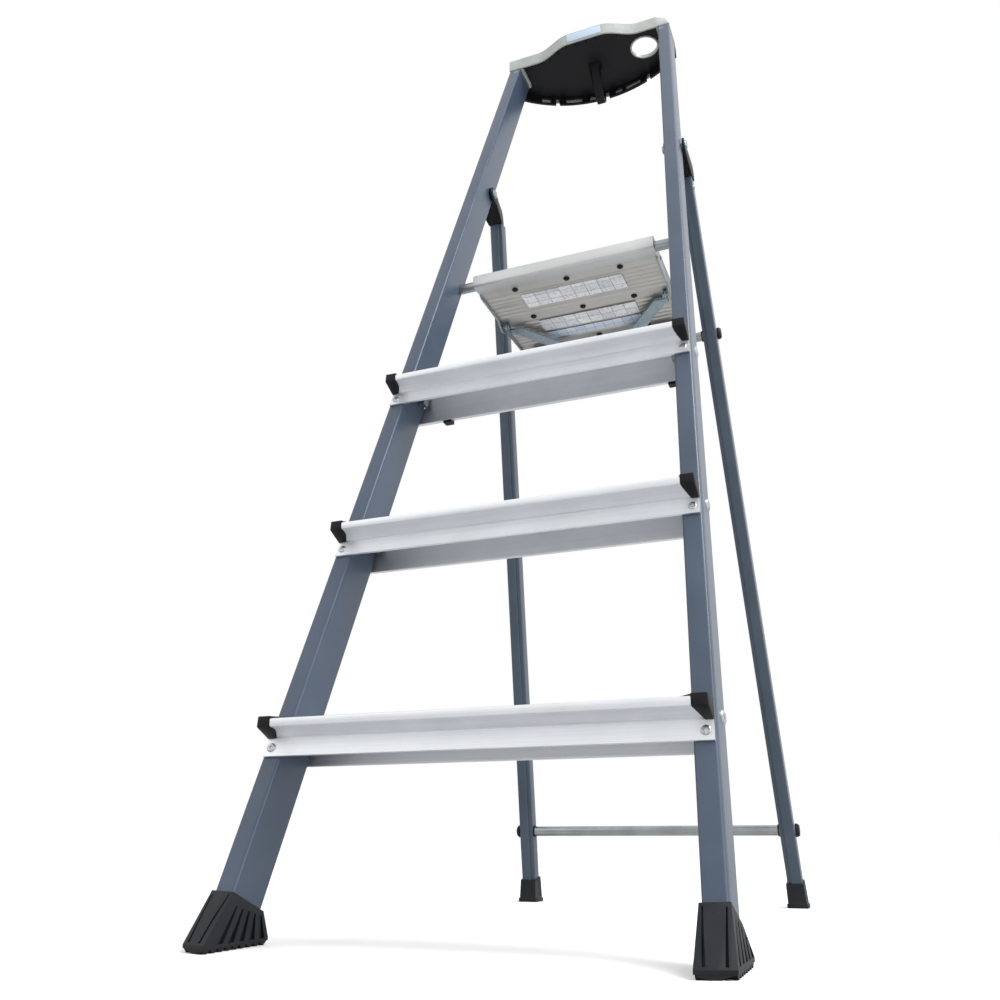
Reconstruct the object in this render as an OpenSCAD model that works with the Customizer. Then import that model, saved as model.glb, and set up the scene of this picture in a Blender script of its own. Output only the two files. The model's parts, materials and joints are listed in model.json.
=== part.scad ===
// Folding step ladder: two splayed stiles, three channel treads, a hinged platform, a folding
// rear support, and a tool tray between the stile tops.
// X is across the ladder, -Y is the side that is climbed, Z is up.
// The origin is on the floor at the centre of the footprint.

/* [Overall] */
// Width over the front stiles at floor level
floor_w = 447; // [420:1:540]
// Height of the first tread above the floor
first_step = 196; // [170:1:230]
// Rise from one tread to the next
step_pitch = 220; // [180:1:265]
// Height of the stile tops above the platform
rail_h = 554; // [460:1:665]

/* [Stance] */
// Lean of the front frame back from upright
lean = 21.3; // [19:0.1:24]
// Inward lean of each stile, in the plane of the front frame
splay = 2.9; // [2.4:0.1:3.2]
// Lean of the rear support forward from upright
rear_lean = 12.7; // [11:0.1:15]
// Inward lean of each rear leg, in the plane of the rear support
rear_splay = 2.05; // [1.6:0.05:2.3]

/* [Stiles and legs] */
// Width of a stile's front face
stile_w = 20; // [18:0.5:24]
// Depth of a stile from front to back
stile_d = 47; // [45:0.5:56]
// Wall of the stile tubes
stile_wall = 1.5; // [1.2:0.1:2]
// Radius of the stile corners
stile_r = 3; // [2:0.5:4]
// Width of a rear leg
leg_w = 20; // [18:0.5:24]
// Depth of a rear leg
leg_d = 21; // [19:0.5:25]
// Wall of the leg tubes
leg_wall = 1.4; // [1.2:0.1:1.8]
// Width of the rebate along the inner front corner of a leg
rebate_w = 5.6; // [4:0.2:7]
// Depth of that rebate
rebate_d = 2.4; // [1:0.2:3]
// Diameter of the two cross tubes and of the platform rod
tube_d = 14; // [12:0.5:16]

/* [Treads] */
// How far a tread's nose stands in front of the stiles
nose = 30; // [24:1:36]
// How far a tread reaches behind the front plane of the stiles
tread_back = 45; // [40:1:54]
// Wall of the tread extrusion
tread_wall = 1.9; // [1.7:0.1:2.4]
// Height of the upright band along the nose
band_h = 8; // [6:0.5:10]
// Depth below the tread of the top of the riveted flange
flange_top = 17.5; // [15:0.5:20]
// Depth below the tread of the bottom of the riveted flange
flange_bottom = 34; // [30:0.5:38]
// Depth of the rear skirt below the tread
skirt_h = 39.7; // [34:0.1:44]
// Thickness of the riveted flange
flange_t = 2.8; // [2:0.1:3.4]
// Width of a corner cap at the nose
cap_w = 13; // [10:0.5:16]
// Thickness of a corner cap above the tread
cap_rise = 2.4; // [1.5:0.1:3]

/* [Platform] */
// Width of the platform
platform_w = 264; // [230:1:270]
// Thickness of the platform deck
deck_t = 19; // [17:0.5:22]
// Distance from the hinge rod's axis to the rear edge of the platform
platform_reach = 226; // [216:1:240]
// Depth of the hinge rod's axis below the standing surface
rod_drop = 11; // [10:0.5:12]
// Distance from the front plane of the stiles back to the hinge rod's axis
rod_set = 39.4; // [38:0.2:40]
// Thickness of the platform's side plates
side_t = 3; // [2:0.5:4]

/* [Stay] */
// Width of a stay strap
strap_w = 18; // [14:0.5:20]
// Thickness of a stay strap
strap_t = 2.5; // [2:0.1:3]
// Distance from the hinge rod's axis back to the stay pins
pin_reach = 101; // [96:1:106]
// Depth of the stay pins below the hinge rod's axis
pin_drop = 14; // [13:0.5:15]

/* [Rear hinge] */
// Height of the rear hinge above the platform's hinge rod
hinge_rise = 226; // [216:1:236]
// Distance from the front plane of the stiles back to the rear hinge
hinge_set = 37.5; // [36:0.5:38]
// Distance from the rear hinge back to the front faces of the legs
leg_offset = 47.5; // [46:0.5:50]
// Diameter of the hinge rivets
hinge_d = 8; // [6:0.5:8]
// Depth of the upper cross tube's axis below the standing surface
upper_tube_drop = 46; // [45:0.5:48]
// Height of the lower cross tube's axis above the floor
lower_tube_z = 101; // [90:1:130]

/* [Tray] */
// Height of the tray's rim wall
tray_h = 22; // [20:1:26]
// Wall of the tray
tray_wall = 2.6; // [2:0.1:3.2]
// Radius of the round hole in the tray
tray_hole_r = 22.5; // [18:0.5:24]
// Reach of the bucket hook below the tray
hook_drop = 56; // [46:1:60]

/* [Clearances] */
// Radial clearance of hinge pins and of the rod in the platform
pin_clear = 0.1; // [0.05:0.01:0.1]
// Gap between the stay and the upper cross tube, and of other faces that move past each other
move_gap = 0.5; // [0.4:0.1:1]
// Gap between a hinge knuckle's cheeks and the sides of the stile
cheek_gap = 1.8; // [1.6:0.1:2.2]
// Gap round pieces that are fastened together
seat_gap = 0.1; // [0.05:0.05:0.2]

/* [Hidden] */
$fn = 48;

// Colours
slate = "#5a6673";
dark_slate = "#46525f";
bare_alloy = "#d3d7da";
warm_alloy = "#c9c4bb";
pale_grey = "#b9bdb9";
zinc = "#84979f";
steel = "#8f9496";
black_plastic = "#232427";

sides = [-1, 1];
far = 3000;
tread_z = [for (i = [0:2]) first_step + i * step_pitch];
platform_z = first_step + 3 * step_pitch;
stile_top = platform_z + rail_h;
sole_t = 7;

// Front plane of the stiles: Y and the outer half width at a height
function front_y(z) = z * tan(lean);
function half_w(z) = floor_w / 2 - z * tan(splay) / cos(lean);
// Distance along a stile, from the floor, of a height at x across and y deep in the stile
function along(z, x = 0, y = 0) = ((z + y * sin(lean)) / cos(lean) - x * sin(splay)) / cos(splay);

// Hinge rod of the platform
rod_z = platform_z - rod_drop;
rod_y = front_y(rod_z) + rod_set / cos(lean);
rod_r = tube_d / 2;

// Rear hinge and the frame of the rear legs, whose origin is on the hinge axis
hinge_z = rod_z + hinge_rise;
hinge_y = front_y(hinge_z) + hinge_set / cos(lean);
leg_mid = leg_offset + leg_d / 2;
function leg_along(z) = (z - hinge_z - leg_mid * sin(rear_lean)) / cos(rear_lean);
function leg_y(z) = hinge_y + leg_mid * cos(rear_lean) - leg_along(z) * sin(rear_lean);
leg_half_w = half_w(hinge_z) + 2;
upper_tube_z = platform_z - upper_tube_drop;
socket_z = -28;
spigot_l = 24;
tube_wall = 1.2;
lobe_r = 11;
cheek_in = half_w(hinge_z) - stile_w - cheek_gap;
cheek_out = half_w(hinge_z) + cheek_gap;
cheek_t = 4;
outer_cheek_t = 3;

// Origin: centre of the footprint from the front toes to the rear heels
toe = 18;
heel = 72;
rear_heel = 18;
middle_y = (leg_y(0) + rear_heel - toe) / 2;

// Treads
rivet_r = 2.4;
rivet_in = 8.7;
rivet_drop = 26.6;
end_inset = 2;
side_rivet_y = 34;
side_rivet_drop = 11;
side_rivet_r = 3;
bracket_w = 8;

// Platform
plank_wall = 2;
deck_bottom = platform_z - deck_t;
nose_front = rod_y - 12.5;
nose_back = rod_y + 12.5;
platform_back = rod_y + platform_reach;
plank_x = platform_w / 2 - side_t - seat_gap;
plank_joints = [nose_back, rod_y + 52, rod_y + 140, platform_back];
plug_rows = [nose_back + 4, rod_y + 96, rod_y + 184];
plug_pitch = 78;
pin_y = rod_y + pin_reach;
pin_z = rod_z - pin_drop;
pin_r = 3;
lug_r = 6;
side_drop = 11;
pad_x = 95;
pad_w = 38;
pad_depth = 34;

// Stay: straps run from the side pins back over the upper cross tube to a hook plate
tube_y = leg_y(upper_tube_z);
stay_span = norm([tube_y - pin_y, upper_tube_z - pin_z]);
stay_lift = rod_r + move_gap + strap_t / 2;
stay_tilt = atan((pin_z - upper_tube_z) / (tube_y - pin_y)) - asin(stay_lift / stay_span);
strap_x = platform_w / 2 - side_t - 6;
apex_reach = 143;
hook_reach = 153.5;

// Tray, on the stile tops
tray_z = stile_top + 1;
tray_top = tray_z + tray_h;
tray_y = front_y(stile_top);
tray_half = half_w(stile_top) + 0.5;
tray_floor_z = tray_z + 8;
base_in = tray_wall + 0.3;
tray_hole = [tray_half - 53.5, tray_y + 44];
hook_y = tray_y + 54;
hook_w = 15;

// Local frames
module stile_frame(side)
    mirror([side < 0 ? 1 : 0, 0, 0])
        translate([floor_w / 2, 0, 0]) rotate([-lean, 0, 0]) rotate([0, -splay, 0]) children();
module leg_frame() translate([0, hinge_y, hinge_z]) rotate([rear_lean, 0, 0]) children();
module leg_side(side)
    leg_frame() mirror([side < 0 ? 1 : 0, 0, 0])
        translate([leg_half_w, 0, 0]) rotate([0, -rear_splay, 0]) children();
module across(length, y, z, r)
    translate([0, y, z]) rotate([0, 90, 0]) cylinder(h = length, r = r, center = true);
module extrude_x(from, to)
    translate([from, 0, 0]) rotate([90, 0, 90]) linear_extrude(to - from) children();
module above(z) translate([-far / 2, -far / 2, z]) cube([far, far, far]);
module between(low, high) translate([-far / 2, -far / 2, low]) cube([far, far, high - low]);
module placed() translate([0, -middle_y, 0]) children();

module rounded_rect(w, d, r) {
    translate([r, 0]) square([w - 2 * r, d]);
    translate([0, r]) square([w, d - 2 * r]);
    for (x = [r, w - r], y = [r, d - r]) translate([x, y]) circle(r, $fn = 24);
}

// Stiles: hollow rounded box with a fine groove along the outer side
module stile_section() {
    difference() {
        translate([-stile_w, 0]) rounded_rect(stile_w, stile_d, stile_r);
        translate([-stile_w + stile_wall, stile_wall])
            square([stile_w - 2 * stile_wall, stile_d - 2 * stile_wall]);
        translate([-0.6, 5]) square([1.2, 1.2]);
    }
}
module stile_cuts() {
    for (z = tread_z) {
        translate([-rivet_in, -1, along(z - rivet_drop, -rivet_in)])
            rotate([-90, 0, 0]) cylinder(h = 1 + stile_wall + 1, r = rivet_r + seat_gap);
        translate([-stile_w - 1, side_rivet_y, along(z - side_rivet_drop, 0, side_rivet_y)])
            rotate([0, 90, 0]) cylinder(h = stile_w + 2, r = side_rivet_r + seat_gap);
    }
    translate([-4 - stile_w / 2, -1, along(stile_top - 8)])
        rotate([-90, 0, 0]) cylinder(h = 1 + stile_wall + 1, r = 4.5);
}
module front_stile(side) color(slate) placed() difference() {
    intersection() {
        stile_frame(side) difference() {
            translate([0, 0, -30]) linear_extrude(along(stile_top) + 60) stile_section();
            stile_cuts();
        }
        between(sole_t, stile_top);
    }
    across(2 * half_w(rod_z) - 2 * stile_w + 8, rod_y, rod_z, rod_r + seat_gap);
    across(floor_w, hinge_y, hinge_z, hinge_d / 2 + seat_gap);
}

// A piece that keeps clear of the stiles, or inside their outer faces
module clear_of_stiles(gap) difference() {
    children();
    for (s = sides) stile_frame(s) translate([-stile_w - gap, 0, -far / 2])
        cube([far, stile_d + gap, far]);
}
module inside_ends(inset) difference() {
    children();
    for (s = sides) stile_frame(s) translate([-inset, -far / 2, -far / 2]) cube([far, far, far]);
}

// Treads: hollow nose, riveted flange on the stile fronts, rear skirt and a grooved top
function back_y(z) = z * tan(lean);
function flange_y(z) = z * tan(lean) - flange_t / cos(lean);
module tread_section() {
    wall = tread_wall;
    difference() {
        polygon([[tread_back, -skirt_h], [tread_back, 0], [-nose, 0], [-nose, -band_h],
            [flange_y(-flange_top), -flange_top], [flange_y(-flange_bottom), -flange_bottom],
            [back_y(-flange_bottom), -flange_bottom], [back_y(-wall), -wall],
            [tread_back - wall, -wall], [tread_back - wall, -skirt_h + wall],
            [tread_back - 3 * wall, -skirt_h + wall], [tread_back - 3 * wall, -skirt_h]]);
        polygon([[-nose + wall, -wall], [-nose + wall, -band_h + 0.5],
            [flange_y(-flange_top) - 1, -flange_top + 3.2], [flange_y(-wall) - 0.2, -wall]]);
        for (y = [-nose + 4:5:tread_back - 4]) translate([y, -0.9]) square([2.6, 2]);
    }
}
// Corner of the nose that a cap takes the place of, from the tread's end inwards
module cap_zone(side, z, gap) {
    x = half_w(z) - end_inset;
    mirror([side < 0 ? 1 : 0, 0, 0]) translate([0, front_y(z), z]) rotate([90, 0, 0])
        linear_extrude(2 * nose, center = true)
            polygon([[x + 9, 9], [x - cap_w - gap, 9], [x - cap_w - gap, -band_h],
                [x - cap_w / 2 - gap, -flange_top - gap], [x + 9, -flange_top - gap]]);
}
module step(z) color(bare_alloy) placed() difference() {
    inside_ends(end_inset) intersection() {
        translate([0, front_y(z), z]) extrude_x(-floor_w / 2, floor_w / 2) tread_section();
        union() {
            // In front of the stiles the tread runs to their outer faces
            rotate([-lean, 0, 0]) translate([-far / 2, -far, -far / 2]) cube([far, far, far]);
            clear_of_stiles(0.4) translate([0, front_y(z), z])
                translate([-floor_w / 2, -nose, -60]) cube([floor_w, 2 * far, 70]);
        }
    }
    for (s = sides) {
        difference() {
            cap_zone(s, z, seat_gap);
            rotate([-lean, 0, 0]) translate([-far / 2, 0, -far / 2]) cube([far, far, far]);
        }
        stile_frame(s) translate([-rivet_in, -flange_t - 1, along(z - rivet_drop, -rivet_in)])
            rotate([-90, 0, 0]) cylinder(h = flange_t + 2, r = rivet_r + seat_gap);
    }
}

// Corner caps close the nose's ends, with a thin wedge that lies on the tread
module corner_cap(side, z) {
    x = half_w(z) - end_inset;
    intersection() {
        cap_zone(side, z, 0);
        inside_ends(end_inset) translate([0, front_y(z), z]) extrude_x(-floor_w / 2, floor_w / 2)
            polygon([[-0.3, cap_rise], [-nose, cap_rise], [-nose, -band_h],
                [flange_y(-flange_top), -flange_top], [back_y(-flange_top) - 0.3, -flange_top]]);
    }
    inside_ends(end_inset) mirror([side < 0 ? 1 : 0, 0, 0])
        translate([0, front_y(z), z + seat_gap]) linear_extrude(cap_rise - seat_gap)
            polygon([[x - cap_w + 1, -nose], [x + 9, -nose], [x + 9, -0.3],
                [x - 2.3 * cap_w, -0.3]]);
}
module step_corner_caps() color(black_plastic) placed()
    for (z = tread_z, s = sides) corner_cap(s, z);

// Brackets under the tread ends, and the rivets that hold the treads
module step_end_brackets() color(bare_alloy) placed()
    for (z = tread_z, s = sides) intersection() {
        stile_frame(s) difference() {
            translate([-stile_w - bracket_w - 0.1, 29, along(z) - 80]) cube([bracket_w, 11.3, 160]);
            translate([-stile_w - bracket_w + 2, side_rivet_y,
                along(z - side_rivet_drop, 0, side_rivet_y)])
                rotate([0, 90, 0]) cylinder(h = bracket_w, r = side_rivet_r + seat_gap);
        }
        between(z - 18, z - tread_wall - seat_gap);
    }
module step_front_rivets() color(steel) placed()
    for (z = tread_z, s = sides) stile_frame(s)
        translate([-rivet_in, 0, along(z - rivet_drop, -rivet_in)]) rotate([90, 0, 0])
            rotate_extrude($fn = 32) polygon([[0, -stile_wall - 1], [rivet_r, -stile_wall - 1],
                [rivet_r, flange_t], [4.6, flange_t], [4.2, flange_t + 0.9], [3, flange_t + 1.5],
                [1.2, flange_t + 1.5], [1.2, flange_t], [0, flange_t]]);
module step_side_rivets() color(steel) placed()
    for (z = tread_z, s = sides) stile_frame(s)
        translate([0, side_rivet_y, along(z - side_rivet_drop, 0, side_rivet_y)])
            rotate([0, 90, 0]) rotate_extrude($fn = 32)
                polygon([[0, -stile_w - bracket_w + 3], [side_rivet_r, -stile_w - bracket_w + 3],
                    [side_rivet_r, 0], [6.5, 0], [6, 1.4], [4, 2.4], [0, 2.7]]);

// Front feet: flared boots round the stile ends, flat on the floor
boot_top = 50;
boot_wall = 1.5;
boot_flare = 4.3;
boot_in = floor_w / 2 - stile_w - boot_flare;
boot_out = floor_w / 2 + boot_flare;
toe_skew = 10;
module front_foot(side) color(black_plastic) placed() difference() {
    hull() {
        stile_frame(side) translate([-stile_w - boot_wall, -boot_wall, boot_top - 2])
            cube([stile_w + 2 * boot_wall, stile_d + 2 * boot_wall, 2]);
        mirror([side < 0 ? 1 : 0, 0, 0]) linear_extrude(sole_t)
            polygon([[boot_in, -toe], [boot_out, toe_skew - toe], [boot_out, heel], [boot_in, heel]]);
    }
    intersection() {
        stile_frame(side) translate([-stile_w - seat_gap, -seat_gap, -30])
            cube([stile_w + 2 * seat_gap, stile_d + 2 * seat_gap, boot_top + 60]);
        above(sole_t - seat_gap);
    }
}

// Clips under the upper tread that hold the folded rear support
clip_x = [-134, 158];
module closing_clips() color(black_plastic) placed()
    for (x = clip_x) translate([x, front_y(tread_z[2]) + tread_back, tread_z[2] - skirt_h]) {
        translate([-5.5, -6, -3.4]) cube([11, 10, 3.4 - seat_gap]);
        translate([-5.5, seat_gap, -3.4]) cube([11, 4 - seat_gap, 12]);
    }

// Rod that carries the platform, held in the inner walls of the stiles
module platform_hinge_rod() color(steel) placed() difference() {
    across(2 * half_w(rod_z) - 2 * stile_w + 5, rod_y, rod_z, rod_r);
    across(floor_w, rod_y, rod_z, rod_r - tube_wall);
}

// Rear hinge: a rivet through each stile, with a washer against each cheek
module hinge_rivets() color(zinc) placed() for (s = sides) {
    inner = cheek_in - cheek_t - 1.2;
    outer = cheek_out + outer_cheek_t + 1.2;
    mirror([s < 0 ? 1 : 0, 0, 0]) translate([0, hinge_y, hinge_z]) rotate([0, 90, 0])
        rotate_extrude() polygon([[0, inner - 2], [hinge_d / 2 + 1.4, inner - 2],
            [hinge_d / 2 + 2.4, inner], [hinge_d / 2, inner], [hinge_d / 2, outer],
            [hinge_d / 2 + 2.4, outer], [hinge_d / 2 + 1.4, outer + 2], [0, outer + 2]]);
}
module hinge_washers() color(zinc) placed() for (s = sides) {
    for (x = [cheek_in - cheek_t - 1.1, cheek_out + outer_cheek_t + 0.3])
        mirror([s < 0 ? 1 : 0, 0, 0]) translate([x, hinge_y, hinge_z]) rotate([0, 90, 0])
            difference() {
                cylinder(h = 0.8, r = hinge_d / 2 + 3.5);
                translate([0, 0, -1]) cylinder(h = 3, r = hinge_d / 2 + seat_gap);
            }
}

// Tray outline: a flat bulge in the middle of the front, and a bowed back
bulge = 21;
bow_r = 230;
tray_depth = 128;
function smooth(t) = t * t * (3 - 2 * t);
module tray_outline(inset) {
    steps = 10;
    half = tray_half - inset;
    front = [for (i = [0:steps]) [-92 + 62 * i / steps, inset - bulge * smooth(i / steps)]];
    intersection() {
        polygon(concat([[-half, tray_depth + 2], [-half, inset]], front,
            [for (i = [steps:-1:0]) [-front[i][0], front[i][1]]],
            [[half, inset], [half, tray_depth + 2]]));
        translate([0, tray_depth - bow_r]) circle(bow_r - inset, $fn = 96);
    }
}
module at_tray(z) translate([0, tray_y, z]) children();

// Grey shell: rim wall, ring of the round hole and the two end blocks on the stile tops
floor_t = 3;
ring_h = 6;
module tray_shell() color(pale_grey) placed() {
    difference() {
        at_tray(tray_z) linear_extrude(tray_h) tray_outline(0);
        at_tray(tray_z - 1) linear_extrude(tray_h + 2) difference() {
            tray_outline(tray_wall);
            for (s = sides) translate([s * (tray_half - 12), 26]) square([24, 54], center = true);
        }
    }
    ring_r = tray_hole_r + tray_wall;
    translate([tray_hole[0], tray_hole[1], tray_floor_z]) rotate_extrude()
        polygon([[tray_hole_r, -ring_h / 4], [ring_r, -ring_h / 4], [ring_r, floor_t + seat_gap],
            [ring_r + 1.6, floor_t + seat_gap], [ring_r + 1.6, 3 * ring_h / 4],
            [tray_hole_r, 3 * ring_h / 4]]);
}
// Black base: floor, stiffening ribs under it and a notched skirt along the back
module tray_base() color(black_plastic) placed() {
    difference() {
        union() {
            at_tray(tray_floor_z) linear_extrude(floor_t) tray_outline(base_in);
            intersection() {
                at_tray(tray_z - 8) linear_extrude(tray_floor_z - tray_z + 8) difference() {
                    tray_outline(base_in);
                    tray_outline(2 * tray_wall + 3);
                }
                translate([-far / 2, tray_y + 64, 0]) cube([far, far, far]);
            }
            for (x = [-100:20:100]) at_tray(tray_z + 1) intersection() {
                translate([x - 0.8, -bulge, 0]) cube([1.6, 60, 8]);
                linear_extrude(8) difference() {
                    tray_outline(base_in);
                    tray_outline(3 * tray_wall + 6);
                }
            }
        }
        for (x = [-89, 4, 86]) at_tray(tray_z - 9) translate([x - 3, 60, 0]) cube([6, 80, 12]);
        translate([tray_hole[0], tray_hole[1], tray_z - 1])
            cylinder(h = tray_h, r = tray_hole_r + base_in);
        for (s = sides) at_tray(tray_z - 9) translate([s * (tray_half - 12), 26, tray_h])
            cube([24.4, 54.4, 3 * tray_h], center = true);
    }
}
module tray_label_plate() color(pale_grey) placed()
    at_tray(tray_z + 4) translate([-29, -bulge - 0.7, 0]) cube([58, 0.7, 14]);
module tray_screws() color(zinc) placed() for (s = sides) stile_frame(s)
    translate([-4 - stile_w / 2, 0, along(stile_top - 8)]) rotate([90, 0, 0])
        rotate_extrude($fn = 32) polygon([[0, -8], [2, -8], [2, -1.5], [4.2, -1.5], [4.2, -0.4],
            [3.6, 0], [1.8, 0], [1.8, -0.8], [0, -0.8]]);

// Hook for a bucket handle: a flat post that turns up at its foot
module bucket_hook() color(black_plastic) placed()
    translate([-hook_w / 2, hook_y, tray_floor_z - seat_gap]) rotate([90, 0, 90]) linear_extrude(hook_w)
        translate([0, -hook_drop]) polygon([[-9, hook_drop], [-4, hook_drop - 10], [16, 4], [20, 0],
            [36, 0], [44, 10], [44, 22], [38, 22], [36, 12], [33, 8], [24, 8],
            [5, hook_drop - 10], [11, hook_drop]]);

// Platform
module nose_section() difference() {
    union() {
        translate([nose_front + 8, deck_bottom]) square([nose_back - nose_front - 8, deck_t]);
        translate([nose_front, deck_bottom + 8]) square([12, deck_t - 16]);
        for (z = [deck_bottom + 8, platform_z - 8]) translate([nose_front + 8, z]) circle(8);
    }
    translate([rod_y, rod_z]) circle(rod_r + pin_clear, $fn = 64);
}
module platform_nose() color(pale_grey) placed()
    extrude_x(-platform_w / 2, platform_w / 2) nose_section();

// A deck plank: hollow, ribbed above, and below on both sides of a plain band with the plugs
module plank(i) {
    front = plank_joints[i] + seat_gap;
    back = plank_joints[i + 1] - seat_gap;
    row = plug_rows[i];
    color(warm_alloy) placed() difference() {
        extrude_x(-plank_x, plank_x) difference() {
            translate([front, deck_bottom]) square([back - front, deck_t]);
            for (y = [front + plank_wall, (front + back + plank_wall) / 2])
                translate([y, deck_bottom + plank_wall + 0.9])
                    square([(back - front - 3 * plank_wall) / 2, deck_t - 2 * plank_wall - 1.8]);
            for (y = [front + 3:5:back - 4]) translate([y, platform_z - 0.9]) square([2.6, 2]);
            for (y = [front + 3:5:back - 4])
                if (abs(y + 1.3 - row) > 11) translate([y, deck_bottom - 1]) square([2.6, 2]);
        }
        for (x = [-plug_pitch, 0, plug_pitch]) translate([x, row, deck_bottom - 1])
            cylinder(h = 5, r = 2 + seat_gap, $fn = 24);
    }
}
module platform_plugs() color(black_plastic) placed()
    for (y = plug_rows, x = [-plug_pitch, 0, plug_pitch]) translate([x, y, deck_bottom])
        rotate_extrude($fn = 24) polygon([[0, 3.4], [2, 3.4], [2, 0], [4.5, 0], [4.2, -1.4],
            [2.8, -2.6], [0, -3]]);
module side_plate(side) color(warm_alloy) placed() {
    x = platform_w / 2 - side_t;
    mirror([side < 0 ? 1 : 0, 0, 0]) difference() {
        union() {
            translate([x, nose_back + seat_gap, deck_bottom - side_drop])
                cube([side_t, platform_back - nose_back - seat_gap, side_drop + deck_t - 2]);
            translate([x, pin_y, pin_z]) rotate([0, 90, 0]) cylinder(h = side_t, r = lug_r + 3);
        }
        translate([x - 1, pin_y, pin_z]) rotate([0, 90, 0]) cylinder(h = side_t + 2, r = pin_r + seat_gap);
        for (i = [0:2]) translate([x - 1, (plank_joints[i] + plank_joints[i + 1]) / 2, platform_z - 9])
            rotate([0, 90, 0]) cylinder(h = side_t + 2, r = 2 + seat_gap);
    }
}
module platform_side_screws() color(zinc) placed()
    for (s = sides, i = [0:2]) mirror([s < 0 ? 1 : 0, 0, 0])
        translate([platform_w / 2, (plank_joints[i] + plank_joints[i + 1]) / 2, platform_z - 9])
            rotate([0, 90, 0]) rotate_extrude($fn = 24)
                polygon([[0, -side_t], [2, -side_t], [2, 0], [3.6, 0], [3.2, 1.4], [1.2, 1.8],
                    [1.2, 1], [0, 1]]);
module platform_label_plates() color("#dfe3e6") placed()
    for (at = [[rod_y + 33, 38], [rod_y + 111, 34], [rod_y + 148, 22]])
        translate([-76, at[0], deck_bottom - 0.5]) cube([152, at[1], 0.5]);

// Pads under the rear plank that sit on the upper cross tube
module platform_rest_pads() color(black_plastic) placed()
    for (s = sides) extrude_x(s * pad_x - pad_w / 2, s * pad_x + pad_w / 2) difference() {
        translate([platform_back - pad_depth, upper_tube_z + rod_r - 3])
            square([pad_depth, deck_bottom - upper_tube_z - rod_r + 3]);
        translate([tube_y, upper_tube_z]) circle(rod_r + move_gap, $fn = 64);
        translate([tube_y - far, upper_tube_z]) square([far, rod_r + move_gap]);
    }
module stay_pins() color(zinc) placed() for (s = sides) mirror([s < 0 ? 1 : 0, 0, 0])
    translate([0, pin_y, pin_z]) rotate([0, 90, 0]) rotate_extrude($fn = 32)
        polygon([[0, strap_x - 4], [pin_r + 1.8, strap_x - 4], [pin_r + 1.8, strap_x - 2],
            [pin_r, strap_x - 2], [pin_r, platform_w / 2], [pin_r + 1.8, platform_w / 2],
            [pin_r + 1.2, platform_w / 2 + 1.2], [0, platform_w / 2 + 1.4]]);

// Stay: its frame has the pin axis as X and runs back along Y
module stay_frame() translate([0, pin_y, pin_z]) rotate([-stay_tilt, 0, 0]) children();
strap_angle = atan(strap_x / apex_reach);
module strap(side) color(zinc) placed() stay_frame() mirror([side < 0 ? 1 : 0, 0, 0]) {
    difference() {
        union() {
            translate([strap_x - 1.2, 0, 0]) rotate([0, 90, 0]) cylinder(h = strap_t, r = lug_r);
            translate([strap_x - 1.2, 0, -strap_t / 2 - 2.5]) cube([strap_t, 16, strap_t / 2 + 5]);
        }
        translate([strap_x - 5, 0, 0]) rotate([0, 90, 0]) cylinder(h = 9, r = pin_r + pin_clear);
    }
    difference() {
        intersection() {
            translate([strap_x - 4, 4, -strap_t / 2]) rotate([0, 0, strap_angle])
                translate([-strap_w / 2, 0, 0]) cube([strap_w, 180, strap_t]);
            translate([4, 8, -5]) cube([strap_x - 2.8, apex_reach, 10]);
        }
        translate([16, apex_reach - 14, -5]) cylinder(h = 10, r = 2 + seat_gap);
    }
}
module stay_hook_plate() color(zinc) placed() stay_frame() difference() {
    union() {
        translate([-26, apex_reach - 22, strap_t / 2 + seat_gap])
            cube([52, hook_reach - apex_reach + 22 + strap_t, strap_t]);
        translate([-26, hook_reach, -14]) cube([52, strap_t, 14 + strap_t]);
    }
    for (s = sides) translate([s * 16, apex_reach - 14, 0]) cylinder(h = 10, r = 2 + seat_gap);
}
module stay_rivets() color(zinc) placed() stay_frame()
    for (s = sides) translate([s * 16, apex_reach - 14, 0]) rotate_extrude($fn = 24) {
        top = 1.5 * strap_t + seat_gap;
        polygon([[0, -strap_t / 2 - 1.2], [3.2, -strap_t / 2 - 1.2], [3.6, -strap_t / 2],
            [2, -strap_t / 2], [2, top], [3.6, top], [3.2, top + 1.2], [0, top + 1.2]]);
    }

// Rear legs: hollow box with a rebate along the inner front corner
module leg_section() difference() {
    translate([-leg_w, leg_offset]) rounded_rect(leg_w, leg_d, 2);
    translate([-leg_w - 1, leg_offset - 1]) square([rebate_w + 1, rebate_d + 1]);
    translate([-leg_w + leg_wall, leg_offset + rebate_d + leg_wall])
        square([leg_w - 2 * leg_wall, leg_d - rebate_d - 2 * leg_wall]);
}
module rear_leg(side) color(dark_slate) placed() difference() {
    intersection() {
        leg_side(side) translate([0, 0, leg_along(0) - 40])
            linear_extrude(socket_z - leg_along(0) + 60) leg_section();
        leg_frame() between(-far, socket_z - seat_gap);
        above(sole_t);
    }
    for (z = [lower_tube_z, upper_tube_z])
        across(floor_w + 60, leg_y(z), z, rod_r + seat_gap);
}

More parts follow.
